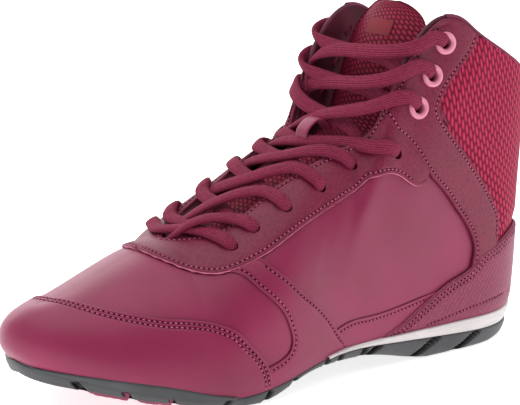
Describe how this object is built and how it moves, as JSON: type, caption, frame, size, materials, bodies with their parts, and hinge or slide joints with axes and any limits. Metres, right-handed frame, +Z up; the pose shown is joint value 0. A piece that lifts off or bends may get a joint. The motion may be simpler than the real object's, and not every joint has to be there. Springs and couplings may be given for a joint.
{
  "type": "boxing shoe",
  "caption": "Ankle-high laced boxing shoe for the left foot: hollow upper with toe cap, eyestay and mesh shaft, padded tongue, wedge midsole and thin grooved outsole.",
  "frame": {"origin": "centre of the outer box's underside, on the plane that the shoe stands on", "axes": "toe towards -X, heel towards +X, outer side of the foot towards -Y, +Z up"},
  "size_m": [0.2796, 0.0944, 0.1658],
  "materials": {
    "smooth_leather": "smooth satin full-grain leather",
    "grained_leather": "fine-grained matt leather",
    "mesh_fabric": "knitted spacer mesh",
    "lace_cord": "knitted oval lace",
    "eyelet_plastic": "smooth pink moulding",
    "midsole_foam": "matt white foam",
    "outsole_rubber": "matt dark grey rubber",
    "tread_rubber": "matt textured rubber",
    "lining_fabric": "soft textile lining"
  },
  "bodies": {
    "root": {"upper": "smooth_leather", "toe_cap": "smooth_leather", "heel_counter": "grained_leather", "shaft_stay_outer": "grained_leather", "shaft_stay_inner": "grained_leather", "eyestay": "grained_leather", "side_band_outer": "grained_leather", "side_band_inner": "grained_leather", "eyelet_ring_outer_1": "eyelet_plastic", "eyelet_ring_outer_2": "eyelet_plastic", "eyelet_ring_outer_3": "eyelet_plastic", "eyelet_ring_inner_1": "eyelet_plastic", "eyelet_ring_inner_2": "eyelet_plastic", "eyelet_ring_inner_3": "eyelet_plastic", "tongue": "mesh_fabric", "lace_keeper": "smooth_leather", "laces": "lace_cord", "insole": "lining_fabric", "midsole": "midsole_foam", "outsole": "outsole_rubber", "tread_pad_1": "tread_rubber", "tread_pad_2": "tread_rubber", "tread_pad_3": "tread_rubber"}
  },
  "joints": []
}
